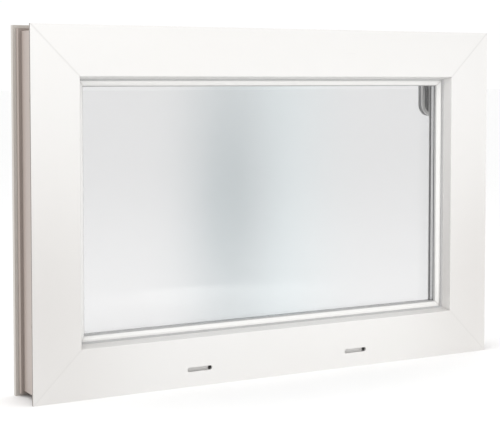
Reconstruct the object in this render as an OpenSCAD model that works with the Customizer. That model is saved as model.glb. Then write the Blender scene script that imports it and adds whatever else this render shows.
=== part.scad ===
// Bottom-hung utility window: a mitred hollow-section frame, a slim tilting sash
// with a sealed double-glazed unit, two slotted stay arms and a quarter-turn crank.
//
// The origin is the middle of the bottom edge. X runs along the width, -Y is the
// weather side and +Z is up. Section outlines are drawn as [depth, inset]: depth is
// counted from the weather face, inset from the outer edge of the frame.

/* [Frame] */
// Overall width of the frame
frame_w = 600; // [480:10:900]
// Overall height of the frame
frame_h = 400; // [330:10:700]
// Overall depth of the frame
frame_d = 60; // [58:1:80]
// Width of the flat weather face
face_w = 54.8; // [48:0.2:70]
// How far the inner bevel of the face leans into the opening
bevel_in = 2.7; // [1:0.1:6]
// Depth of the front leg that the sash closes against
leg_d = 12.7; // [11:0.1:18]
// Overlap of the front leg over the rebate wall
leg_overlap = 14.8; // [13:0.1:20]
// Radius of the arris between the face and the bevel
arris_r = 1; // [0.4:0.1:2]
// Outer wall of the hollow section
wall_t = 2.8; // [2:0.1:3.4]
// Inner web of the hollow section
web_t = 1.6; // [1:0.1:2.4]
// Depth of the narrow drainage chamber behind the weather face
drain_chamber_d = 2.4; // [2:0.1:3.6]
// Depth at which the chamber for the steel starts
core_v = 13.6; // [12:0.1:14.4]
// Depth of the chamber that holds the steel
core_d = 28.6; // [24:0.2:29]

/* [Wall side of the frame] */
// Thickness of the weather-side lip
front_lip_t = 2.8; // [2:0.1:4]
// Thickness of the room-side lip
rear_lip_t = 6; // [4:0.1:7]
// Height of both lips above the channel
channel_h = 6.7; // [4:0.1:9]
// Width of the ledge beside the room-side lip
ledge_w = 8; // [4:0.1:10]
// Height of that ledge above the channel
ledge_h = 3.2; // [1:0.1:3.8]

/* [Wall anchors and drainage] */
// Radius of the holes for the wall anchors
anchor_r = 3.25; // [2.5:0.25:3.25]
// Depth of the anchor holes behind the weather face
anchor_v = 18.8; // [18.6:0.2:34]
// Distance between the two anchor holes on a side
anchor_pitch = 240; // [220:5:290]
// Length of a drainage slot
drain_l = 31; // [20:1:50]
// Height of a drainage slot
drain_h = 5; // [3:0.2:7]
// Radius of the hole in the web behind a drainage slot
drain_hole_r = 3; // [2:0.1:3.4]
// Distance between the middles of the drainage slots
drain_pitch = 208; // [120:2:300]
// Height of the drainage slots above the bottom edge
drain_z = 19.2; // [15:0.2:28]

/* [Seals] */
// Thickness of the seal between frame and sash
seal_t = 2.5; // [2:0.1:4]
// How far the seal shows beyond the front leg
seal_show = 2; // [0.5:0.1:2.6]
// Width of the foot that holds the seal in its groove
seal_foot_w = 3; // [2:0.1:4]
// Height of that foot
seal_foot_h = 3; // [2:0.1:4]
// Thickness of the gasket in front of the glass
front_gasket_t = 1.5; // [1:0.1:3]
// Thickness of the gasket behind the glass
rear_gasket_t = 1.2; // [1:0.1:3]

/* [Sash] */
// Air gap between the sash edge and the rebate wall
sash_gap = 4.6; // [4.4:0.1:6]
// Width of the sash wall beside the glazing rebate
sash_wall_w = 10; // [9.4:0.1:14]
// Thickness of the front flange of the sash
flange_t = 3.5; // [2.5:0.1:5]
// Distance from the edge of the weather face to the sight line of the sash
rim_in = 10; // [8:0.1:14]
// Width of the sloped band along the sight line
rim_slope_w = 2.8; // [1:0.1:3]
// Depth of that slope
rim_slope_d = 2.2; // [0.5:0.1:2.4]
// Wall of the sash section
sash_wall_t = 2.2; // [1.6:0.1:2.6]
// Depth of a glazing bead
bead_d = 5.3; // [4.5:0.1:9]
// How far a glazing bead stands back from the sight line
bead_back = 2; // [1:0.1:3]
// Width of the flat back of a glazing bead
bead_flat_w = 3.2; // [2:0.1:5]

/* [Glass] */
// Thickness of each pane
pane_t = 4; // [3:0.5:6]
// Width of the sealed cavity between the panes
cavity_t = 8; // [6:0.5:12]
// Thickness of the setting blocks around the glass
block_t = 2.5; // [2:0.1:4]
// Length of a setting block
block_l = 60; // [30:5:90]
// Width of the outer edge sealant
sealant_w = 2.4; // [1.5:0.1:4]
// How far the spacer shows past the sight line
spacer_show = 1; // [0:0.1:2]
// Thickness of the butyl line on each side of the spacer
butyl_t = 0.3; // [0.2:0.05:0.6]
// Sheet thickness of the spacer tube
spacer_wall_t = 0.5; // [0.3:0.1:1]
// Size of the sloped shoulders of the spacer tube
shoulder = 1.2; // [0.6:0.1:2]

/* [Hinges] */
// Length of a hinge
hinge_l = 50; // [36:1:80]
// Distance of each hinge from the middle of the frame
hinge_x = 170; // [120:5:190]
// Radius of the hinge pin
pin_r = 1.5; // [1.2:0.1:2]
// Outer radius of the knuckles
knuckle_r = 3.2; // [2.8:0.1:3.4]
// Thickness of the hinge leaves
leaf_t = 1.5; // [1:0.1:2]

/* [Stay arms] */
// Distance of the frame pivot from the hinge axis
stay_low_r = 60; // [45:1:80]
// Distance of the sash stud from the hinge axis
stay_high_r = 250; // [220:1:260]
// Depth of the sash stud behind the weather face
stud_v = 33; // [30:0.5:36]
// Width of a stay arm
arm_w = 10; // [9:0.5:14]
// Thickness of a stay arm
arm_t = 1.6; // [1:0.1:1.8]
// Radius of the pivot in the frame
pivot_r = 3; // [2:0.1:3.2]
// Radius of the stud on the sash
stud_r = 2.5; // [1.8:0.1:2.8]
// Largest opening angle of the sash
tilt_max = 20; // [15:1:22]

/* [Crank] */
// Distance from the side edge of the sash to the crank axis
crank_side = 12.9; // [9:0.1:18]
// Distance from the crank axis to the end of the lever
lever_reach = 54.4; // [40:0.2:70]
// Width of the lever
lever_w = 15; // [12:0.5:16]
// Depth of the rim around the hollow back of the lever
lever_rim_t = 2; // [1.2:0.1:3]
// Width of that rim
lever_rim_w = 4.2; // [1.6:0.1:5]
// Thickness of the plate of the lever
lever_plate_t = 2.9; // [2:0.1:3.4]
// Thickness of the clip-on cover of the lever
cover_t = 4.6; // [3:0.1:6]
// Thickness of the base plate
base_t = 4; // [3.5:0.1:6]
// Length of the base plate on the inner side of the axis
base_l = 22; // [21:0.5:30]
// Thickness of the latch tongue
tongue_t = 2.5; // [2:0.1:4]
// Distance from the crank axis to the tip of the tongue
tongue_reach = 15.6; // [14:0.1:18]
// Width of the tongue
tongue_w = 8; // [7:0.1:9]
// Radius of the round journal of the spindle
journal_r = 3.5; // [3:0.1:4]
// Width of the square of the spindle
square_w = 5; // [4:0.1:5.5]
// Thickness of the keep plate
keep_t = 1.2; // [1:0.1:1.6]

/* [Clearances] */
// Radial clearance of a turning pin in its hole
run_clear = 0.05; // [0.02:0.01:0.1]
// Clearance of a pushed-in piece in its seat
seat_clear = 0.05; // [0.02:0.01:0.2]
// Gap between faces that slide past each other
slide_gap = 0.3; // [0.2:0.05:0.5]
// Side play of a stud in the slot of its stay arm
slot_play = 0.5; // [0.45:0.05:0.8]

/* [Hidden] */
$fn = 48;
eps = 0.01;

pvc_white = [0.95, 0.95, 0.94];
handle_white = [0.9, 0.9, 0.89];
lever_grey = [0.4, 0.4, 0.41];
rubber_grey = [0.3, 0.31, 0.32];
rubber_black = [0.08, 0.08, 0.09];
zinc = [0.72, 0.73, 0.74];
steel = [0.6, 0.61, 0.63];
glass_tint = [0.8, 0.88, 0.9, 0.35];

// Insets from the outer edge of the frame
rebate_u = face_w - leg_overlap;
leg_tip_u = face_w + bevel_in;
ledge_u = channel_h - ledge_h;
sash_u = rebate_u + sash_gap;
floor_u = sash_u + sash_wall_w;
glass_u = floor_u + block_t;
rim_u = face_w + rim_in;
bead_u = rim_u - bead_back;
spacer_u = rim_u + spacer_show;
seal_foot_u = rebate_u + 7;

// Depths behind the weather face
ledge_v1 = frame_d - rear_lip_t;
ledge_v0 = ledge_v1 - ledge_w;
core_v1 = core_v + core_d;
drain_web_v = wall_t + drain_chamber_d;
sash_v = leg_d + seal_t + slide_gap;
flange_v = sash_v + flange_t;
glass_v = flange_v + front_gasket_t;
cavity_v = glass_v + pane_t;
inner_pane_v = cavity_v + cavity_t;
rear_gasket_v = inner_pane_v + pane_t;
bead_v = rear_gasket_v + rear_gasket_t;
sash_back_v = bead_v + bead_d;

// Hinge axis, just behind the sash and just above the rebate wall
axis_v = sash_back_v + knuckle_r + 0.4;
axis_z = rebate_u + knuckle_r + 0.4;
knuckle_end_l = 15;
knuckle_gap = 0.3;
leaf_reach = 11.4;
leaf_clear = 0.4;

// Stay arm: frame pivot, sash stud and hinge axis lie on one line when closed
stay_lean = asin((axis_v - stud_v) / stay_high_r);
arm_l = stay_high_r - stay_low_r;
stud_open_y = stay_high_r * sin(tilt_max);
stud_open_z = stay_high_r * cos(tilt_max) - stay_low_r;
arm_l_open = norm([stud_open_y, stud_open_z]);
stay_ratio = atan2(stud_open_y, stud_open_z) / tilt_max;
pivot_v = axis_v - stay_low_r * sin(stay_lean);
pivot_z = axis_z + stay_low_r * cos(stay_lean);
stud_z = axis_z + stay_high_r * cos(stay_lean);
arm_x = frame_w / 2 - rebate_u - (sash_gap - arm_t) / 2 - arm_t;
rivet_head_t = 0.9;
rivet_flange_r = 5;

// Crank axis and the stack of pieces along it
crank_x = frame_w / 2 - sash_u - crank_side;
crank_u = sash_u + sash_wall_w / 2;
crank_z = frame_h - crank_u;
base_v1 = sash_back_v + base_t;
tongue_v = base_v1 + slide_gap;
lever_v = tongue_v + tongue_t + slide_gap;
lever_plate_v = lever_v + lever_rim_t;
lever_v1 = lever_plate_v + lever_plate_t;
spindle_flange_r = 5;
spindle_flange_t = 1;
spindle_pocket_t = 1.5;
cover_skin_t = 1.6;
cover_wall_t = 1.6;
cover_edge = 1.4;
crank_screw_r = 3.4;
crank_screw_t = 1.6;
crank_thread_r = 1.25;
boss_r = square_w / 2 * sqrt(2) + 1.4;
base_side = lever_w / 2 + 1;

// Small countersunk screws
screw_r = 1.75;
screw_head_r = 3.2;
screw_head_t = 1.3;
keep_slot_side = 5.5;
keep_screw_side = 9.5;
keep_margin = 3.5;
keep_slot_clear = 0.45;
base_screw_x = [11, 18.5];

side_names = ["bottom", "top", "left", "right"];

function y_at(depth) = depth - frame_d / 2;
function span(side) = (side == "top" || side == "bottom") ? frame_w : frame_h;

// Moves a bar that lies along the bottom edge to another side of the window
module at_side(side) {
    if (side == "bottom") children();
    if (side == "top") translate([0, 0, frame_h]) rotate([0, 180, 0]) children();
    if (side == "left") translate([-frame_w / 2, 0, frame_h / 2]) rotate([0, 90, 0]) children();
    if (side == "right") translate([frame_w / 2, 0, frame_h / 2]) rotate([0, -90, 0]) children();
}

// Sweeps a [depth, inset] section along one side and mitres both ends
module mitred_bar(side) {
    reach = min(frame_w, frame_h) / 2 - 1;
    half = span(side) / 2;
    at_side(side) translate([0, -frame_d / 2, 0]) intersection() {
        rotate([90, 0, 90]) linear_extrude(2 * half, center = true) children();
        rotate([90, 0, 0]) linear_extrude(4 * frame_d, center = true)
            polygon([[-half, 0], [half, 0], [half - reach, reach], [reach - half, reach]]);
    }
}

module mitred_ring() {
    for (side = side_names) mitred_bar(side) children();
}

// Rectangle from [depth, inset] corner to corner
module rect(v0, v1, u0, u1) {
    translate([v0, u0]) square([v1 - v0, u1 - u0]);
}

// Flat slab that covers the window inwards from one inset, between two depths
module slab(v0, v1, inset) {
    translate([-frame_w / 2 + inset, y_at(v0), inset])
        cube([frame_w - 2 * inset, v1 - v0, frame_h - 2 * inset]);
}

// Round pin along Y between two depths
module pin_y(x, z, v0, v1, r) {
    translate([x, y_at(v0), z]) rotate([-90, 0, 0]) cylinder(h = v1 - v0, r = r);
}

// Round pin along X between two places
module pin_x(v, z, x0, x1, r) {
    translate([x0, y_at(v), z]) rotate([0, 90, 0]) cylinder(h = x1 - x0, r = r);
}

// Countersunk screw that points along -Z, with the top of its head at the origin
module screw(length, grow = 0) {
    translate([0, 0, -screw_head_t])
        cylinder(h = screw_head_t, r1 = screw_r + grow, r2 = screw_head_r + grow);
    translate([0, 0, -length]) cylinder(h = length - screw_head_t + eps, r = screw_r + grow);
}

module slot_2d(length, width) {
    r = width / 2;
    translate([-length / 2 + r, 0]) circle(r);
    translate([length / 2 - r, 0]) circle(r);
    square([length - width, width], center = true);
}

// ---- Frame -------------------------------------------------------------

module frame_section() {
    lean = atan(bevel_in / leg_d);
    arris_u = face_w + arris_r * tan(lean) - arris_r / cos(lean);
    arris = [for (i = [0:6]) let (a = 90 + lean + (90 - lean) * i / 6)
        [arris_r + arris_r * cos(a), arris_u + arris_r * sin(a)]];
    difference() {
        polygon(concat([[0, 0], [front_lip_t, 0], [front_lip_t, channel_h],
            [ledge_v0, channel_h], [ledge_v0, ledge_u], [ledge_v1, ledge_u],
            [ledge_v1, 0], [frame_d, 0], [frame_d, rebate_u], [leg_d, rebate_u],
            [leg_d, leg_tip_u]], arris));
        rect(wall_t, drain_web_v, channel_h + wall_t, rebate_u - wall_t);
        rect(drain_web_v + web_t, core_v - web_t, channel_h + wall_t, rebate_u - wall_t);
        rect(core_v, core_v1, channel_h + wall_t, rebate_u - wall_t);
        rect(core_v1 + web_t, frame_d - wall_t, channel_h + wall_t, rebate_u - wall_t);
        rect(wall_t, leg_d - seal_foot_h - web_t, rebate_u - wall_t + web_t, face_w - wall_t);
        rect(leg_d - seal_foot_h, leg_d + eps, seal_foot_u, seal_foot_u + seal_foot_w);
    }
}

module anchor_holes(side) {
    s = side == "left" ? -1 : 1;
    for (k = [-1, 1])
        translate([s * frame_w / 2, y_at(anchor_v), frame_h / 2 + k * anchor_pitch / 2])
            rotate([0, 90, 0]) cylinder(h = 2.2 * rebate_u, r = anchor_r, center = true);
}

// Slots through the weather face, each with an offset hole in the web behind it
module drain_slots() {
    for (k = [-1, 1]) translate([k * drain_pitch / 2, y_at(0), drain_z]) rotate([90, 0, 0]) {
        translate([0, 0, -wall_t - 1]) linear_extrude(wall_t + 2) slot_2d(drain_l, drain_h);
        translate([drain_l / 2, 0, -drain_web_v - web_t - 1])
            cylinder(h = web_t + 2, r = drain_hole_r);
    }
}

// Place of the stay rivet in the side wall
module stay_pivot_hole(s) {
    mirror([s < 0 ? 1 : 0, 0, 0]) pin_x(pivot_v, pivot_z, frame_w / 2 - rebate_u - 1,
        frame_w / 2 - rebate_u + wall_t + 1, pivot_r + seat_clear);
}

// Window in the top wall that the tongue swings into
module keep_slot(z0, z1) {
    side = sqrt(tongue_reach * tongue_reach + tongue_w * tongue_w / 4);
    x0 = crank_x - side + keep_slot_clear - 1;
    translate([x0, y_at(tongue_v - keep_slot_clear), z0])
        cube([crank_x + keep_slot_side - x0, tongue_t + 2 * keep_slot_clear, z1 - z0]);
}

module frame_bar_top() {
    color(pvc_white) difference() {
        mitred_bar("top") frame_section();
        keep_slot(frame_h - rebate_u - 1, frame_h - rebate_u + wall_t + 1);
        place_keep_screws() screw(10, seat_clear);
    }
}

module frame_bar_bottom() {
    color(pvc_white) difference() {
        mitred_bar("bottom") frame_section();
        drain_slots();
        for (s = [-1, 1]) place_frame_leaf_screws(s) screw(10, seat_clear);
    }
}

module frame_bar_side(side) {
    difference() {
        mitred_bar(side) frame_section();
        anchor_holes(side);
        stay_pivot_hole(side == "left" ? -1 : 1);
    }
}

module frame_bar_left() {
    color(pvc_white) frame_bar_side("left");
}

module frame_bar_right() {
    color(pvc_white) frame_bar_side("right");
}

// Rectangular steel tubes in the large chamber, short of the welded corners
module frame_reinforcement() {
    steel_t = 1.5;
    fit = 0.3;
    u0 = channel_h + wall_t + fit;
    u1 = rebate_u - wall_t - fit;
    color(zinc) difference() {
        for (side = side_names) at_side(side) translate([0, -frame_d / 2, 0])
            rotate([90, 0, 90]) linear_extrude(span(side) - 2 * (rebate_u + 5), center = true)
                difference() {
                    rect(core_v + fit, core_v1 - fit, u0, u1);
                    rect(core_v + fit + steel_t, core_v1 - fit - steel_t, u0 + steel_t, u1 - steel_t);
                }
        anchor_holes("left");
        anchor_holes("right");
    }
}

module frame_seal() {
    tip_u = leg_tip_u + seal_show;
    back_v = leg_d + seal_t;
    heel_u = seal_foot_u - 1.5;
    color(rubber_grey) mitred_ring() {
        polygon([[leg_d, heel_u], [leg_d + seal_t / 2, heel_u], [back_v, seal_foot_u + seal_foot_w],
            [back_v, tip_u - 0.6], [back_v - 0.7, tip_u], [leg_d + 0.5, tip_u], [leg_d, leg_tip_u]]);
        rect(leg_d - seal_foot_h + seat_clear, leg_d + eps, seal_foot_u + seat_clear,
            seal_foot_u + seal_foot_w - seat_clear);
    }
}

module place_keep_screws() {
    z = frame_h - rebate_u - keep_t;
    for (x = [crank_x - tongue_reach - keep_margin - 1.5, crank_x + keep_screw_side])
        translate([x, y_at(tongue_v + tongue_t), z]) rotate([180, 0, 0]) children();
}

module keep_plate() {
    z0 = frame_h - rebate_u - keep_t;
    x0 = crank_x - tongue_reach - 2 * keep_margin - 2;
    x1 = crank_x + keep_screw_side + keep_margin;
    color(steel) difference() {
        translate([x0, y_at(tongue_v - 4), z0]) cube([x1 - x0, tongue_t + 8.5, keep_t]);
        keep_slot(z0 - 1, z0 + keep_t + 1);
        place_keep_screws() screw(10, seat_clear);
    }
}

module keep_screws() {
    color(steel) place_keep_screws() screw(10);
}

// ---- Hinges ------------------------------------------------------------

module hinge_barrel(x0, x1) {
    pin_x(axis_v, axis_z, x0, x1, knuckle_r);
}

module hinge_bore(x, r) {
    pin_x(axis_v, axis_z, x - hinge_l, x + hinge_l, r);
}

module place_frame_leaf_screws(s) {
    for (k = [-1, 1])
        translate([s * hinge_x + k * (hinge_l / 2 - 8), y_at(axis_v + 7.4), rebate_u + leaf_t]) children();
}

// Fixed leaf: two outer knuckles and a plate that lies on the rebate wall
module hinge_frame_leaf(s) {
    x = s * hinge_x;
    plate_v = axis_v + knuckle_r + leaf_clear;
    difference() {
        union() {
            for (k = [-1, 1]) {
                x0 = x + k * (hinge_l - knuckle_end_l) / 2 - knuckle_end_l / 2;
                hinge_barrel(x0, x0 + knuckle_end_l);
                translate([x0, y_at(axis_v), rebate_u])
                    cube([knuckle_end_l, plate_v - axis_v + eps, leaf_t]);
            }
            translate([x - hinge_l / 2, y_at(plate_v), rebate_u])
                cube([hinge_l, axis_v + leaf_reach - plate_v, leaf_t]);
        }
        hinge_bore(x, pin_r + eps);
        place_frame_leaf_screws(s) screw(10, seat_clear);
    }
}

module hinge_frame_leaf_left() {
    color(zinc) hinge_frame_leaf(-1);
}

module hinge_frame_leaf_right() {
    color(zinc) hinge_frame_leaf(1);
}

module hinge_pin(s) {
    head_t = 0.8;
    x = s * hinge_x - hinge_l / 2;
    pin_x(axis_v, axis_z, x, x + hinge_l, pin_r);
    pin_x(axis_v, axis_z, x - head_t, x, pin_r + 0.8);
    pin_x(axis_v, axis_z, x + hinge_l, x + hinge_l + head_t, pin_r + 0.8);
}

module hinge_pin_left() {
    color(steel) hinge_pin(-1);
}

module hinge_pin_right() {
    color(steel) hinge_pin(1);
}

module hinge_frame_screws() {
    color(steel) for (s = [-1, 1]) place_frame_leaf_screws(s) screw(10);
}

module place_sash_leaf_screws(s) {
    for (k = [-1, 1])
        translate([s * hinge_x + k * (hinge_l / 2 - 8), y_at(sash_back_v + leaf_t), crank_u])
            rotate([-90, 0, 0]) children();
}

// Moving leaf: the middle knuckle and a plate on the room face of the sash
module hinge_sash_leaf(s) {
    x = s * hinge_x;
    middle_l = hinge_l - 2 * knuckle_end_l - 2 * knuckle_gap;
    plate_z = axis_z + knuckle_r + leaf_clear;
    difference() {
        union() {
            hinge_barrel(x - middle_l / 2, x + middle_l / 2);
            translate([x - middle_l / 2, y_at(sash_back_v), axis_z])
                cube([middle_l, leaf_t, plate_z - axis_z + eps]);
            translate([x - hinge_l / 2, y_at(sash_back_v), plate_z])
                cube([hinge_l, leaf_t, floor_u + 1 - plate_z]);
        }
        hinge_bore(x, pin_r + run_clear);
        place_sash_leaf_screws(s) screw(10, seat_clear);
    }
}

module hinge_sash_leaf_left() {
    color(zinc) hinge_sash_leaf(-1);
}

module hinge_sash_leaf_right() {
    color(zinc) hinge_sash_leaf(1);
}

module hinge_sash_screws() {
    color(steel) for (s = [-1, 1]) place_sash_leaf_screws(s) screw(10);
}

// ---- Stay arms ---------------------------------------------------------

// Rivet pressed into the side wall: flange, journal and head hold the arm
module stay_pivot() {
    wall_x = frame_w / 2 - rebate_u;
    head_x = arm_x - seat_clear;
    pin_x(pivot_v, pivot_z, head_x, wall_x + wall_t, pivot_r);
    pin_x(pivot_v, pivot_z, arm_x + arm_t + seat_clear, wall_x, rivet_flange_r);
    pin_x(pivot_v, pivot_z, head_x - rivet_head_t, head_x, rivet_flange_r);
}

module stay_pivot_left() {
    color(steel) mirror([1, 0, 0]) stay_pivot();
}

module stay_pivot_right() {
    color(steel) stay_pivot();
}

// Shouldered stud in the edge of the sash
module stay_stud() {
    edge_x = frame_w / 2 - sash_u;
    pin_x(stud_v, stud_z, edge_x - sash_wall_t, arm_x + arm_t + 0.2, stud_r);
    pin_x(stud_v, stud_z, edge_x, arm_x - 0.2, stud_r + 1.8);
    pin_x(stud_v, stud_z, arm_x + arm_t + 0.2, arm_x + arm_t + 0.9, stud_r + 1.5);
}

module stay_stud_left() {
    color(steel) mirror([1, 0, 0]) stay_stud();
}

module stay_stud_right() {
    color(steel) stay_stud();
}

module stay_stud_hole(s) {
    mirror([s < 0 ? 1 : 0, 0, 0]) pin_x(stud_v, stud_z, frame_w / 2 - sash_u - sash_wall_t - 1,
        frame_w / 2 - sash_u + 1, stud_r + seat_clear);
}

// Flat arm with a round hole at the frame pivot and a slot at the sash stud
module stay_arm() {
    slot_r = stud_r + slot_play;
    slot_l = arm_l_open - arm_l + 1;
    translate([arm_x, y_at(pivot_v), pivot_z]) rotate([stay_lean, 0, 0])
        rotate([90, 0, 90]) linear_extrude(arm_t) difference() {
            union() {
                circle(arm_w / 2);
                translate([-arm_w / 2, 0]) square([arm_w, arm_l_open]);
                translate([0, arm_l_open + 1]) circle(arm_w / 2);
            }
            circle(pivot_r + run_clear);
            translate([0, (arm_l + arm_l_open) / 2]) rotate(90) slot_2d(slot_l + 2 * slot_r, 2 * slot_r);
        }
}

module stay_arm_left() {
    color(zinc) mirror([1, 0, 0]) stay_arm();
}

module stay_arm_right() {
    color(zinc) stay_arm();
}

// ---- Sash --------------------------------------------------------------

bead_foot_v = bead_v + 1.6;
bead_foot_w = 1.4;
bead_foot_h = 1.2;

module sash_section() {
    difference() {
        polygon([[sash_v, sash_u], [sash_back_v, sash_u], [sash_back_v, floor_u], [flange_v, floor_u],
            [flange_v, rim_u], [sash_v + rim_slope_d, rim_u], [sash_v, rim_u - rim_slope_w]]);
        rect(sash_v + sash_wall_t, sash_back_v - sash_wall_t,
            sash_u + sash_wall_t, floor_u - sash_wall_t - 0.6);
        rect(bead_foot_v, bead_foot_v + bead_foot_w, floor_u - bead_foot_h, floor_u + eps);
    }
}

module sash_bar_top() {
    color(pvc_white) difference() {
        mitred_bar("top") sash_section();
        place_base_screws() screw(11, seat_clear);
    }
}

module sash_bar_bottom() {
    color(pvc_white) difference() {
        mitred_bar("bottom") sash_section();
        for (s = [-1, 1]) place_sash_leaf_screws(s) screw(10, seat_clear);
    }
}

module sash_bar_left() {
    color(pvc_white) difference() {
        mitred_bar("left") sash_section();
        stay_stud_hole(-1);
    }
}

module sash_bar_right() {
    color(pvc_white) difference() {
        mitred_bar("right") sash_section();
        stay_stud_hole(1);
    }
}

module bead_section() {
    polygon([[bead_v, floor_u], [sash_back_v, floor_u], [sash_back_v, floor_u + bead_flat_w],
        [bead_v + 0.9, bead_u], [bead_v, bead_u]]);
    rect(bead_foot_v + seat_clear, bead_foot_v + bead_foot_w - seat_clear,
        floor_u - bead_foot_h + seat_clear, floor_u + eps);
}

module glazing_bead_top() {
    color(pvc_white) mitred_bar("top") bead_section();
}

module glazing_bead_bottom() {
    color(pvc_white) mitred_bar("bottom") bead_section();
}

module glazing_bead_left() {
    color(pvc_white) mitred_bar("left") bead_section();
}

module glazing_bead_right() {
    color(pvc_white) mitred_bar("right") bead_section();
}

// ---- Glass unit --------------------------------------------------------

module outer_pane() {
    color(glass_tint) slab(glass_v, cavity_v, glass_u);
}

module inner_pane() {
    color(glass_tint) slab(inner_pane_v, rear_gasket_v, glass_u);
}

// Tube section of the spacer, shrunk by an inset, with shoulders towards the cavity
module spacer_outline(inset) {
    v0 = cavity_v + butyl_t + inset;
    v1 = inner_pane_v - butyl_t - inset;
    u0 = glass_u + sealant_w + inset;
    u1 = spacer_u - inset;
    polygon([[v0, u0], [v1, u0], [v1, u1 - shoulder], [v1 - shoulder, u1], [v0 + shoulder, u1],
        [v0, u1 - shoulder]]);
}

module glass_spacer() {
    color([0.62, 0.64, 0.66]) mitred_ring() difference() {
        spacer_outline(0);
        spacer_outline(spacer_wall_t);
    }
}

module spacer_butyl() {
    u0 = glass_u + sealant_w;
    color(rubber_black) mitred_ring() {
        rect(cavity_v, cavity_v + butyl_t, u0, spacer_u - shoulder);
        rect(inner_pane_v - butyl_t, inner_pane_v, u0, spacer_u - shoulder);
    }
}

module edge_sealant() {
    color(rubber_black) mitred_ring() rect(cavity_v, inner_pane_v, glass_u, glass_u + sealant_w);
}

module front_glazing_gasket() {
    color(rubber_grey) mitred_ring() polygon([[flange_v, glass_u + 2], [glass_v, glass_u + 2],
        [glass_v, rim_u + 0.9], [glass_v - 0.5, rim_u + 1.1], [flange_v, rim_u]]);
}

module rear_glazing_gasket() {
    color(rubber_grey) mitred_ring() polygon([[rear_gasket_v, glass_u + 1.5], [bead_v, glass_u + 1.5],
        [bead_v, bead_u], [rear_gasket_v, bead_u + 0.6]]);
}

module setting_blocks() {
    half_w = frame_w / 2 - floor_u;
    half_h = frame_h / 2 - floor_u;
    depth = rear_gasket_v - glass_v;
    color([0.2, 0.45, 0.75]) translate([0, y_at(glass_v), frame_h / 2]) {
        for (k = [-1, 1], m = [-1, 1]) {
            translate([k * half_w * 0.68 - block_l / 2, 0, m * (half_h - block_t / 2) - block_t / 2])
                cube([block_l, depth, block_t]);
            translate([k * (half_w - block_t / 2) - block_t / 2, 0, m * half_h * 0.6 - block_l / 4])
                cube([block_t, depth, block_l / 2]);
        }
    }
}

// ---- Crank -------------------------------------------------------------

module place_base_screws() {
    for (dx = base_screw_x)
        translate([crank_x - dx, y_at(base_v1), crank_z]) rotate([-90, 0, 0]) children();
}

// Screwed plate with the bearing of the spindle; a pocket behind it holds the flange
module crank_base() {
    half = sash_wall_w / 2;
    color(handle_white) difference() {
        translate([crank_x, y_at(sash_back_v), crank_z]) rotate([-90, 0, 0]) linear_extrude(base_t) union() {
            translate([-base_l, -half]) square([base_l + base_side - half, 2 * half]);
            translate([base_side - half, 0]) circle(half);
            translate([0, half - eps]) square([2 * half, 4], center = true);
        }
        pin_y(crank_x, crank_z, sash_back_v - 1, base_v1 + 1, journal_r + run_clear);
        pin_y(crank_x, crank_z, sash_back_v - 1, sash_back_v + spindle_pocket_t,
            spindle_flange_r + slide_gap);
        place_base_screws() screw(11, seat_clear);
    }
}

module crank_base_screws() {
    color(steel) place_base_screws() screw(11);
}

// Flange and round journal in the base, then a square that drives tongue and lever
module crank_spindle() {
    flange_v0 = sash_back_v + slide_gap;
    color(steel) difference() {
        union() {
            pin_y(crank_x, crank_z, flange_v0, flange_v0 + spindle_flange_t, spindle_flange_r);
            pin_y(crank_x, crank_z, flange_v0, base_v1, journal_r);
            translate([crank_x - square_w / 2, y_at(base_v1), crank_z - square_w / 2])
                cube([square_w, lever_v1 - base_v1, square_w]);
        }
        pin_y(crank_x, crank_z, lever_v1 - 7, lever_v1 + 1, crank_thread_r + seat_clear);
    }
}

module spindle_square_hole(v0, v1) {
    w = square_w + 2 * seat_clear;
    translate([crank_x - w / 2, y_at(v0), crank_z - w / 2]) cube([w, v1 - v0, w]);
}

// Short cam that points along the top rail when released
module latch_tongue() {
    color(steel) difference() {
        translate([crank_x, y_at(tongue_v), crank_z]) rotate([-90, 0, 0]) linear_extrude(tongue_t) union() {
            circle(tongue_w / 2 + 1);
            translate([-tongue_reach + 1.5, -tongue_w / 2]) square([tongue_reach - 1.5, tongue_w]);
            translate([-tongue_reach, -tongue_w / 2 + 1.5]) square([tongue_reach, tongue_w - 3]);
        }
        spindle_square_hole(tongue_v - 1, tongue_v + tongue_t + 1);
    }
}

module place_lever(v) {
    translate([crank_x, y_at(v), crank_z]) rotate([-90, 0, 0]) children();
}

// Block of the lever's outline, shrunk by an inset, with sides that lean in by a taper.
// It is round at the crank axis and ends in one sweeping quarter circle.
module lever_block(t, inset = 0, taper = 0) {
    low = lever_w / 2 - inset;
    high = low - taper;
    sweep_y = lever_reach - lever_w;
    sweep_r = lever_w - inset;
    cylinder(h = t, r1 = low, r2 = high);
    intersection() {
        translate([0, lever_reach, 0]) rotate([90, 0, 0]) linear_extrude(lever_reach)
            polygon([[-low, 0], [low, 0], [high, t], [-high, t]]);
        union() {
            translate([-lever_w, 0, 0]) cube([2 * lever_w, sweep_y, t]);
            translate([lever_w / 2, sweep_y, 0]) cylinder(h = t, r1 = sweep_r, r2 = sweep_r - taper);
        }
    }
}

// Rim around the hollow back of the lever, cut round the boss
module lever_rim() {
    color(handle_white) place_lever(lever_v) difference() {
        lever_block(lever_rim_t);
        translate([0, 0, -1]) lever_block(lever_rim_t + 2, lever_rim_w);
        translate([0, 0, -1]) cylinder(h = lever_rim_t + 2, r = boss_r + seat_clear);
    }
}

// Plate of the lever, with a boss that reaches down the square inside the rim
module crank_lever() {
    color(lever_grey) difference() {
        union() {
            place_lever(lever_plate_v) lever_block(lever_plate_t);
            pin_y(crank_x, crank_z, lever_v, lever_plate_v + eps, boss_r);
        }
        spindle_square_hole(lever_v - 1, lever_v1 + 1);
    }
}

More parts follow.
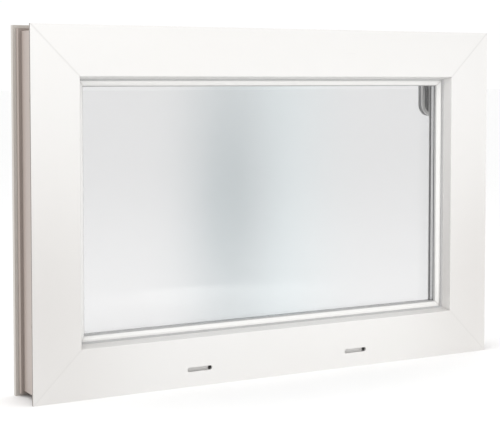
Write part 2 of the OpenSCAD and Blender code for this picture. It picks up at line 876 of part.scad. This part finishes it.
// Pan-head screw that clamps the lever onto the end of the spindle
module crank_screw() {
    color(steel) {
        pin_y(crank_x, crank_z, lever_v1, lever_v1 + crank_screw_t, crank_screw_r);
        pin_y(crank_x, crank_z, lever_v1 - 6, lever_v1, crank_thread_r);
    }
}

// Clip-on cover over the whole lever, chamfered, with a pocket for the screw head
module crank_cover() {
    side_t = cover_t - cover_edge;
    color(lever_grey) place_lever(lever_v1) difference() {
        union() {
            lever_block(side_t);
            translate([0, 0, side_t]) lever_block(cover_edge, 0, cover_edge);
        }
        translate([0, 0, -1]) lever_block(cover_t - cover_skin_t + 1, cover_wall_t);
    }
}

frame_bar_top();
frame_bar_bottom();
frame_bar_left();
frame_bar_right();
frame_reinforcement();
frame_seal();
keep_plate();
keep_screws();
hinge_frame_leaf_left();
hinge_frame_leaf_right();
hinge_pin_left();
hinge_pin_right();
hinge_frame_screws();
stay_pivot_left();
stay_pivot_right();
sash_bar_top();
sash_bar_bottom();
sash_bar_left();
sash_bar_right();
glazing_bead_top();
glazing_bead_bottom();
glazing_bead_left();
glazing_bead_right();
outer_pane();
inner_pane();
glass_spacer();
spacer_butyl();
edge_sealant();
front_glazing_gasket();
rear_glazing_gasket();
setting_blocks();
hinge_sash_leaf_left();
hinge_sash_leaf_right();
hinge_sash_screws();
stay_stud_left();
stay_stud_right();
crank_base();
crank_base_screws();
crank_lever();
lever_rim();
crank_spindle();
crank_screw();
crank_cover();
latch_tongue();
stay_arm_left();
stay_arm_right();
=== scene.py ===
# Small tilting utility window: looks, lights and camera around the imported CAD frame.
import math

import bmesh
import bpy
from mathutils import Matrix, Vector

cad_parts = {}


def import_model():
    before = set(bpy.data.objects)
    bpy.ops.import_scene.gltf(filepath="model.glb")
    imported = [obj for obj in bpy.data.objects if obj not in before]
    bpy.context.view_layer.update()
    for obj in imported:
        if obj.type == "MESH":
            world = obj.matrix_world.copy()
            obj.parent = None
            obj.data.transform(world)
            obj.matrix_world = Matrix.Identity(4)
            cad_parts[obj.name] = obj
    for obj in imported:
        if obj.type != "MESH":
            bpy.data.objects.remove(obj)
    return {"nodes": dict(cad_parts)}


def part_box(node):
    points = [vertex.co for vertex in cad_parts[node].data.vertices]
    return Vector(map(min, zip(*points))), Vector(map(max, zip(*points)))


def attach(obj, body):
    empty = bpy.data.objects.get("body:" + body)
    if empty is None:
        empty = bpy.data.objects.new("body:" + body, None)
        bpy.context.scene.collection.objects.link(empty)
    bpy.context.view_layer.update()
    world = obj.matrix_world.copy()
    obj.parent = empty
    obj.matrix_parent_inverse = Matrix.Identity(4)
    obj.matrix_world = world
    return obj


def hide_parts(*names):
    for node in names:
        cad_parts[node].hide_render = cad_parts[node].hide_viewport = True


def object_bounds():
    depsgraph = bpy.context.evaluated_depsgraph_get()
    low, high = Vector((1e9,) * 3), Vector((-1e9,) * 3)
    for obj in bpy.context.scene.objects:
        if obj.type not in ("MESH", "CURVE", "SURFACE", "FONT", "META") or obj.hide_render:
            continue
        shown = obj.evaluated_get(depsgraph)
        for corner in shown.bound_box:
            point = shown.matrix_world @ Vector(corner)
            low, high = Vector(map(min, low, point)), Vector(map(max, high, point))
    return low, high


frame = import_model()
nodes = frame["nodes"]
cad_box = [list(corner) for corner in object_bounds()]

MM = 0.001
# Points of a split CAD mesh that are closer than this are one point
MERGE_GAP = 0.005 * MM
LOW, HIGH = (Vector(corner) for corner in cad_box)
WIDTH, DEPTH, HEIGHT = HIGH - LOW
CENTRE = (LOW + HIGH) / 2


# ---- Node material helpers ----------------------------------------------------

class Mat:
    """A Principled material with short ways to add nodes and links."""

    def __init__(self, name, color, rough, **sockets):
        self.mat = bpy.data.materials.new(name)
        self.mat.use_nodes = True
        self.tree = self.mat.node_tree
        self.bsdf = self.tree.nodes["Principled BSDF"]
        self.bsdf.inputs["Base Color"].default_value = (*color, 1)
        self.bsdf.inputs["Roughness"].default_value = rough
        for key, value in sockets.items():
            self.bsdf.inputs[key.replace("_", " ")].default_value = value
        self.coord = self.tree.nodes.new("ShaderNodeTexCoord").outputs["Object"]

    def node(self, kind, **values):
        made = self.tree.nodes.new("ShaderNode" + kind)
        for key, value in values.items():
            setattr(made, key, value)
        return made

    def put(self, socket, value):
        """Links a socket to another one, or sets it to a constant."""
        if isinstance(value, bpy.types.NodeSocket):
            self.tree.links.new(value, socket)
        else:
            socket.default_value = value

    def math(self, operation, a, b=0.0, clamp=False):
        made = self.node("Math", operation=operation, use_clamp=clamp)
        self.put(made.inputs[0], a)
        self.put(made.inputs[1], b)
        return made.outputs[0]

    def axis(self, letter):
        """One coordinate of the point in the shared frame, in metres."""
        split = self.node("SeparateXYZ")
        self.put(split.inputs[0], self.coord)
        return split.outputs[letter]

    def noise(self, scale, stretch=(1, 1, 1), detail=3.0, rough=0.5):
        mapping = self.node("Mapping")
        self.put(mapping.inputs["Vector"], self.coord)
        mapping.inputs["Scale"].default_value = stretch
        made = self.node("TexNoise")
        self.put(made.inputs["Vector"], mapping.outputs[0])
        made.inputs["Scale"].default_value = scale
        made.inputs["Detail"].default_value = detail
        made.inputs["Roughness"].default_value = rough
        return made.outputs["Fac"]

    def ramp(self, value, low, high):
        """Stretches a value from 0 to 1 into the range from low to high."""
        made = self.node("MapRange")
        self.put(made.inputs["Value"], value)
        made.inputs["To Min"].default_value = low
        made.inputs["To Max"].default_value = high
        return made.outputs[0]

    def mix(self, factor, a, b):
        made = self.node("Mix", data_type="RGBA")
        self.put(made.inputs["Factor"], factor)
        self.put(made.inputs["A"], a)
        self.put(made.inputs["B"], b)
        return made.outputs["Result"]

    def bell(self, value, centre, width):
        """1 where the value is at the centre, falling smoothly to 0 some widths away."""
        offset = self.math("DIVIDE", self.math("SUBTRACT", value, centre), width)
        square = self.math("MULTIPLY", offset, offset)
        return self.math("POWER", math.e, self.math("MULTIPLY", square, -1.0))

    def color(self, value):
        self.put(self.bsdf.inputs["Base Color"], value)

    def rough(self, value):
        self.put(self.bsdf.inputs["Roughness"], value)

    def bump(self, height, distance, strength=1.0):
        made = self.node("Bump")
        self.put(made.inputs["Height"], height)
        made.inputs["Distance"].default_value = distance
        made.inputs["Strength"].default_value = strength
        self.put(self.bsdf.inputs["Normal"], made.outputs[0])


def rgba(*color):
    return (*color, 1)


# ---- Materials -------------------------------------------------------------------

# Stretch of a noise along a level bar and along an upright one
ALONG_X = (0.02, 1, 1)
ALONG_Z = (1, 1, 0.02)

# Frame and sash plastic: its whites, the tone of the weld lines and the width of a weld
WHITE = (0.762, 0.757, 0.750)
# Painted light: the sash white is brighter than the frame white, to lift the shade the frame casts
# on the sash
SASH_LIT_WHITE = (0.85, 0.848, 0.84)
WARMING = (0.99, 0.98, 0.965)
WELD_TONE = (0.50, 0.49, 0.48)
WELD_WIDTH = 1.3 * MM

# Painted shade: the frame is painted a little darker low down near its sides, where less light
# falls: the tone, its share, its middle and its reach
LOW_SIDE_SHADE_WHITE = (0.625, 0.608, 0.592)
LOW_SIDE_SHADE_SHARE = 0.85
LOW_SIDE_SHADE_Z = 0.25 * HEIGHT
LOW_SIDE_SHADE_REACH_Z = 0.38 * HEIGHT
LOW_SIDE_SHADE_U = 10 * MM
LOW_SIDE_SHADE_REACH_U = 95 * MM

# Recycled core on the wall side, under a white skin, with painted shade in its grooves and corners
CORE_DARK = (0.345, 0.292, 0.262)
CORE_LIGHT = (0.45, 0.385, 0.35)
GROOVE_SHADE_TONE = (0.10, 0.085, 0.075)
REAR_LIP_SHADE_TONE = (0.50, 0.47, 0.435)
SKIN_T = 0.3 * MM
REAR_LIP_START = 53.95 * MM
CHANNEL_U = 9.7 * MM
# Each painted groove shade: its depth behind the weather face, its width and how dark it is painted
GROOVE_SHADES = ((1.6 * MM, 1.6 * MM, 0.85), (45.2 * MM, 1.6 * MM, 0.5), (53.4 * MM, 0.9 * MM, 0.8))

# Painted reflection in the glass: a soft darker upright band, and a cooler tone beside it
REFLECTION_BAND_X = -50 * MM
REFLECTION_BAND_REACH_X = 56 * MM
REFLECTION_BAND_Z = 0.52 * HEIGHT
REFLECTION_BAND_REACH_Z = 0.45 * HEIGHT
COOL_REFLECTION_X = 10 * MM
COOL_REFLECTION_REACH_X = 75 * MM

# Spacer in the glass unit: its tones, the front painted bright as a highlight, and the pitch and
# width of its breather holes
SPACER_HIGHLIGHT_FRONT = (0.93, 0.93, 0.93)
SPACER_BACK = (0.16, 0.16, 0.165)
HOLE_TONE = (0.05, 0.05, 0.05)
HOLE_PITCH = 4 * MM
HOLE_WIDTH = 0.45 * MM


def extruded_pvc(name, white, stretch, shows_core):
    """White extruded plastic: die lines along the bar, slow tone changes, welds, recycled core."""
    m = Mat(name, white, 0.3, Specular_IOR_Level=0.5, Coat_Weight=0.12, Coat_Roughness=0.2)
    # Distances in from the nearer side edge and from the nearer level edge: equal along a mitre
    u_side = m.math("SUBTRACT", WIDTH / 2, m.math("ABSOLUTE", m.axis("X")))
    u_level = m.math("MINIMUM", m.axis("Z"), m.math("SUBTRACT", HEIGHT, m.axis("Z")))
    warm = tuple(c * f for c, f in zip(white, WARMING))
    tone = m.mix(m.noise(5, detail=2), rgba(*white), rgba(*warm))
    weld = m.bell(m.math("SUBTRACT", u_side, u_level), 0.0, WELD_WIDTH)
    tone = m.mix(m.math("MULTIPLY", weld, 0.3), tone, rgba(*WELD_TONE))
    if shows_core:
        inset = m.math("MINIMUM", u_side, u_level)
        depth = m.math("ADD", m.axis("Y"), DEPTH / 2)
        wall_side = m.math("LESS_THAN", inset, CHANNEL_U)
        wall_side = m.math("MULTIPLY", wall_side, m.math("GREATER_THAN", depth, SKIN_T))
        wall_side = m.math("MULTIPLY", wall_side, m.math("LESS_THAN", depth, DEPTH - SKIN_T))
        speck = m.noise(900, detail=4, rough=0.7)
        core = m.mix(speck, rgba(*CORE_DARK), rgba(*CORE_LIGHT))
        # Painted shade in the grooves and corners of the wall side, by the lips and the ledge step
        for place, width, share in GROOVE_SHADES:
            groove_shade = m.math("MULTIPLY", m.bell(depth, place, width), share)
            core = m.mix(groove_shade, core, rgba(*GROOVE_SHADE_TONE))
        # Painted shade: the rear lip's white plastic is painted greyish beige where it lies in shade
        rear_lip = m.math("GREATER_THAN", depth, REAR_LIP_START)
        core = m.mix(rear_lip, core, rgba(*REAR_LIP_SHADE_TONE))
        # Painted shade: darker low down near the frame's side edges
        low_down = m.bell(m.axis("Z"), LOW_SIDE_SHADE_Z, LOW_SIDE_SHADE_REACH_Z)
        near_side = m.bell(u_side, LOW_SIDE_SHADE_U, LOW_SIDE_SHADE_REACH_U)
        low_side_shade = m.math("MULTIPLY", low_down, near_side)
        tone = m.mix(m.math("MULTIPLY", low_side_shade, LOW_SIDE_SHADE_SHARE), tone, rgba(*LOW_SIDE_SHADE_WHITE))
        tone = m.mix(wall_side, tone, core)
    m.color(tone)
    lines = m.noise(420, stretch, detail=4, rough=0.6)
    pores = m.noise(1500, detail=2)
    relief = m.math("ADD", m.math("MULTIPLY", lines, 0.8), m.math("MULTIPLY", pores, 0.2))
    m.rough(m.ramp(lines, 0.24, 0.38))
    m.bump(m.math("SUBTRACT", relief, m.math("MULTIPLY", weld, 4.0)), 0.03 * MM, 0.6)
    return m.mat


def rubber(name, dark, light):
    """Dull rubber with a mottled tone."""
    m = Mat(name, dark, 0.6, Specular_IOR_Level=0.3)
    m.color(m.mix(m.noise(250), rgba(*dark), rgba(*light)))
    m.rough(m.ramp(m.noise(700), 0.5, 0.75))
    m.bump(m.noise(1800, detail=2), 0.05 * MM, 0.5)
    return m.mat


def zinc_steel(name, color, stretch):
    """Zinc-plated steel with duller patches and a brushed grain."""
    m = Mat(name, color, 0.35, Metallic=1.0)
    dull = tuple(0.78 * c for c in color)
    m.color(m.mix(m.noise(160, detail=4), rgba(*color), rgba(*dull)))
    brush = m.noise(900, stretch, detail=5, rough=0.7)
    m.rough(m.ramp(brush, 0.24, 0.48))
    m.bump(brush, 0.02 * MM, 0.5)
    return m.mat


def moulded_plastic(name, color):
    """Satin plastic with a fine eroded grain."""
    m = Mat(name, color, 0.32, Specular_IOR_Level=0.5)
    m.color(m.mix(m.noise(30), rgba(*color), rgba(*(0.95 * c for c in color))))
    m.rough(m.ramp(m.noise(600), 0.28, 0.42))
    m.bump(m.noise(1400, detail=3), 0.03 * MM, 0.5)
    return m.mat


def pane_glass(name, light, dark, cool):
    """Clear glass with a painted reflection: a soft darker upright band, and a cooler tone to one
    side.
    """
    m = Mat(name, light, 0.0, Transmission_Weight=1.0, IOR=1.5)
    # Painted reflection: darker in a soft upright band, cooler to one side
    fade = m.bell(m.axis("Z"), REFLECTION_BAND_Z, REFLECTION_BAND_REACH_Z)
    painted_reflection = m.math("MULTIPLY", m.bell(m.axis("X"), REFLECTION_BAND_X, REFLECTION_BAND_REACH_X), fade)
    painted_reflection = m.math("MULTIPLY", painted_reflection, m.ramp(m.noise(5, detail=1), 0.85, 1.1))
    tone = m.mix(m.bell(m.axis("X"), COOL_REFLECTION_X, COOL_REFLECTION_REACH_X), rgba(*light), rgba(*cool))
    m.color(m.mix(painted_reflection, tone, rgba(*dark)))
    return m.mat


def spacer_metal(name):
    """Front painted bright as a highlight, tiny breather holes along its middle, and a dark back."""
    m = Mat(name, SPACER_HIGHLIGHT_FRONT, 0.3, Metallic=0.9)
    hole = m.bell(m.axis("Y"), SPACER_MIDDLE, HOLE_WIDTH)
    for letter in ("X", "Z"):
        wave = m.math("PINGPONG", m.axis(letter), HOLE_PITCH / 2)
        along = m.math("ABSOLUTE", m.math("SUBTRACT", wave, HOLE_PITCH / 4))
        hole = m.math("MULTIPLY", hole, m.math("LESS_THAN", along, HOLE_PITCH / 5))
    # Painted highlight: the front half is painted bright, the back half dark
    back = m.math("GREATER_THAN", m.axis("Y"), SPACER_MIDDLE - 0.3 * MM)
    tone = m.mix(back, rgba(*SPACER_HIGHLIGHT_FRONT), rgba(*SPACER_BACK))
    m.color(m.mix(hole, tone, rgba(*HOLE_TONE)))
    m.rough(m.ramp(m.noise(800), 0.3, 0.5))
    m.bump(m.noise(900, detail=3), 0.03 * MM, 0.5)
    return m.mat


def middle(name):
    """Centre of a CAD node's box."""
    low, high = (Vector(corner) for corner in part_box(name))
    return (low + high) / 2


SPACER_MIDDLE = middle("glass_spacer").y

PVC_X = extruded_pvc("pvc_frame_level", WHITE, ALONG_X, True)
PVC_Z = extruded_pvc("pvc_frame_upright", WHITE, ALONG_Z, True)
SASH_X = extruded_pvc("pvc_sash_level", SASH_LIT_WHITE, ALONG_X, False)
SASH_Z = extruded_pvc("pvc_sash_upright", SASH_LIT_WHITE, ALONG_Z, False)
SEAL = rubber("seal_rubber", (0.44, 0.44, 0.44), (0.52, 0.52, 0.52))
GASKET = rubber("gasket_rubber", (0.42, 0.42, 0.42), (0.50, 0.50, 0.50))
SEALANT = rubber("sealant", (0.02, 0.02, 0.022), (0.04, 0.04, 0.044))
SPACER = spacer_metal("spacer_aluminium")
BLOCK = moulded_plastic("block_plastic", (0.05, 0.14, 0.42))
GLASS = pane_glass("float_glass", light=(0.885, 0.885, 0.887), dark=(0.74, 0.765, 0.775),
                   cool=(0.86, 0.885, 0.892))
HANDLE = moulded_plastic("handle_plastic", (0.93, 0.93, 0.92))
LEVER = moulded_plastic("lever_plastic", (0.15, 0.15, 0.154))
ZINC = zinc_steel("zinc_steel", (0.60, 0.61, 0.62), (1, 1, 0.1))
STEEL = zinc_steel("bright_steel", (0.72, 0.72, 0.71), (1, 1, 1))


# Edges that turn by more than this are rounded
SHARP_ANGLE = math.radians(35)


def set_material(name, material):
    obj = nodes[name]
    obj.data.materials.clear()
    obj.data.materials.append(material)


def bevel(name, width, segments=2, smooth=True):
    """Joins the split faces of a CAD mesh and rounds its sharp edges a little."""
    obj = nodes[name]
    weld = obj.modifiers.new("weld", "WELD")
    weld.merge_threshold = MERGE_GAP
    round_off = obj.modifiers.new("bevel", "BEVEL")
    round_off.width = width
    round_off.segments = segments
    round_off.limit_method = "ANGLE"
    round_off.angle_limit = SHARP_ANGLE
    round_off.harden_normals = smooth
    for face in obj.data.polygons:
        face.use_smooth = smooth


UPRIGHT = ("left", "right")
for side in ("top", "bottom", "left", "right"):
    upright = side in UPRIGHT
    set_material(f"frame_bar_{side}", PVC_Z if upright else PVC_X)
    bevel(f"frame_bar_{side}", 0.3 * MM, smooth=False)
    set_material(f"sash_bar_{side}", SASH_Z if upright else SASH_X)
    bevel(f"sash_bar_{side}", 0.35 * MM)
    set_material(f"glazing_bead_{side}", SASH_Z if upright else SASH_X)
    bevel(f"glazing_bead_{side}", 0.3 * MM)

PLAIN_MATERIALS = {
    SEAL: ["frame_seal"],
    GASKET: ["front_glazing_gasket", "rear_glazing_gasket"],
    SEALANT: ["edge_sealant", "spacer_butyl"],
    SPACER: ["glass_spacer"],
    BLOCK: ["setting_blocks"],
    GLASS: ["outer_pane", "inner_pane"],
    HANDLE: ["crank_base", "lever_rim"],
    LEVER: ["crank_lever", "crank_cover"],
    ZINC: ["frame_reinforcement", "keep_plate", "hinge_frame_leaf_left", "hinge_frame_leaf_right",
           "hinge_sash_leaf_left", "hinge_sash_leaf_right", "stay_arm_left", "stay_arm_right",
           "latch_tongue"],
    STEEL: ["keep_screws", "hinge_frame_screws", "hinge_sash_screws", "crank_base_screws",
            "hinge_pin_left", "hinge_pin_right", "stay_pivot_left", "stay_pivot_right",
            "stay_stud_left", "stay_stud_right", "crank_spindle", "crank_screw"],
}
for material, names in PLAIN_MATERIALS.items():
    for name in names:
        set_material(name, material)
        if material in (HANDLE, LEVER, ZINC):
            bevel(name, 0.2 * MM)
bevel("frame_seal", 0.6 * MM, 3)


# ---- Screws with a cross recess --------------------------------------------------------

def islands(mesh):
    """Low and high corners of each loose part of a mesh."""
    work = bmesh.new()
    work.from_mesh(mesh)
    bmesh.ops.remove_doubles(work, verts=work.verts, dist=MERGE_GAP)
    left = set(work.verts)
    boxes = []
    while left:
        group = [left.pop()]
        for vert in group:
            for edge in vert.link_edges:
                other = edge.other_vert(vert)
                if other in left:
                    left.discard(other)
                    group.append(other)
        corners = zip(*(vert.co for vert in group))
        spans = [(min(values), max(values)) for values in corners]
        boxes.append(tuple(Vector(ends) for ends in zip(*spans)))
    work.free()
    return boxes


# Blade of the cross recess: half its length and width at the head's top, its depth, and how much
# shorter and thinner it is at its foot
RECESS_HALF_L = 1.9 * MM
RECESS_HALF_W = 0.42 * MM
RECESS_DEPTH = 1.5 * MM
RECESS_TAPER_L = 0.35
RECESS_TAPER_W = 0.8


def cross_cutter(boxes, direction):
    """Two crossed, tapered blades at the head of each screw, as one cutting mesh."""
    turn = direction.to_track_quat("Z", "Y").to_matrix().to_4x4()
    work = bmesh.new()
    for low, high in boxes:
        centre = (low + high) / 2
        reach = (high - low) / 2
        top = centre + Vector(reach[k] * direction[k] for k in range(3))
        for quarter in (0, math.pi / 2):
            blade = bmesh.ops.create_cube(work, size=2.0)["verts"]
            for vert in blade:
                at_foot = vert.co.z < 0
                vert.co.x *= RECESS_HALF_L * (RECESS_TAPER_L if at_foot else 1.0)
                vert.co.y *= RECESS_HALF_W * (RECESS_TAPER_W if at_foot else 1.0)
                vert.co.z *= RECESS_DEPTH
            place = Matrix.Translation(top) @ turn @ Matrix.Rotation(quarter, 4, "Z")
            bmesh.ops.transform(work, matrix=place, verts=blade)
    mesh = bpy.data.meshes.new("cutter")
    work.to_mesh(mesh)
    work.free()
    return mesh


def cross_head_screws(node, body, direction):
    """Stands for a group of CAD screws: the same screws with a cross recess in each head."""
    direction = Vector(direction)
    source = nodes[node]
    cutter = bpy.data.objects.new("cutter", cross_cutter(islands(source.data), direction))
    piece = bpy.data.objects.new(f"{node}_cross", source.data.copy())
    for obj in (cutter, piece):
        bpy.context.scene.collection.objects.link(obj)
    weld = piece.modifiers.new("weld", "WELD")
    weld.merge_threshold = MERGE_GAP
    cut = piece.modifiers.new("recess", "BOOLEAN")
    cut.operation = "DIFFERENCE"
    cut.object = cutter
    cut.use_self = True
    evaluated = piece.evaluated_get(bpy.context.evaluated_depsgraph_get())
    shape = bpy.data.meshes.new_from_object(evaluated)
    piece.modifiers.clear()
    piece.data = shape
    bpy.data.objects.remove(cutter)
    shape.materials.clear()
    shape.materials.append(STEEL)
    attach(piece, body)
    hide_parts(node)


cross_head_screws("keep_screws", "frame", (0, 0, -1))
cross_head_screws("hinge_frame_screws", "frame", (0, 0, 1))
cross_head_screws("hinge_sash_screws", "sash", (0, 1, 0))
cross_head_screws("crank_base_screws", "sash", (0, 1, 0))


# ---- Floor, lights and camera ----------------------------------------------------

FLOOR_HALF = 40.0


def floor():
    """A wide white floor at the foot of the window."""
    corners = [(x * FLOOR_HALF, y * FLOOR_HALF, 0) for x, y in ((-1, -1), (1, -1), (1, 1), (-1, 1))]
    mesh = bpy.data.meshes.new("floor")
    mesh.from_pydata(corners, [], [(0, 1, 2, 3)])
    obj = bpy.data.objects.new("floor", mesh)
    bpy.context.scene.collection.objects.link(obj)
    m = Mat("floor", (0.95, 0.95, 0.95), 0.8)
    m.color(m.mix(m.noise(3), rgba(0.945, 0.945, 0.945), rgba(0.955, 0.955, 0.955)))
    mesh.materials.append(m.mat)


def area_light(name, place, target, size, power, color, shows_in_gloss=True):
    """A round light that the camera doesn't see, straight on or through the glass."""
    light = bpy.data.lights.new(name, "AREA")
    light.shape = "DISK"
    light.size = size
    light.energy = power
    light.color = color
    obj = bpy.data.objects.new(name, light)
    bpy.context.scene.collection.objects.link(obj)
    obj.location = place
    obj.rotation_euler = (Vector(target) - Vector(place)).to_track_quat("-Z", "Y").to_euler()
    obj.visible_camera = False
    obj.visible_glossy = shows_in_gloss
    obj.visible_transmission = False


def world(strength):
    """An even white surround."""
    made = bpy.data.worlds.new("studio")
    bpy.context.scene.world = made
    made.use_nodes = True
    background = made.node_tree.nodes["Background"]
    background.inputs["Color"].default_value = (1, 1, 1, 1)
    background.inputs["Strength"].default_value = strength


def camera():
    """Looks at the weather face from its left, from a little below the top edge."""
    data = bpy.data.cameras.new("camera")
    data.lens = 95.7
    data.sensor_width = 36
    data.shift_y = -0.128
    data.dof.use_dof = False
    obj = bpy.data.objects.new("camera", data)
    bpy.context.scene.collection.objects.link(obj)
    obj.location = (-0.774, -1.340, 0.341)
    yaw = math.radians(29.26)
    pitch = math.radians(3.0)
    obj.rotation_euler = (math.pi / 2 - pitch, 0, -yaw)
    bpy.context.scene.camera = obj


WARM_LIGHT = (1, 0.99, 0.97)

floor()
world(1.02)
area_light("key", (-0.5, -0.38, 0.78), CENTRE, 0.25, 0.85, WARM_LIGHT)
area_light("fill", (0.22, -0.6, 0.18), (0.20, 0, 0.04), 0.3, 0.5, WARM_LIGHT, False)
area_light("side", (-1.6, -0.25, 0.6), CENTRE, 0.5, 2.2, WARM_LIGHT, False)
area_light("overhead", (0, 0.1, 2.0), CENTRE, 2.0, 6.2, (1, 1, 1), False)
bpy.context.scene.view_settings.view_transform = "Standard"
camera()
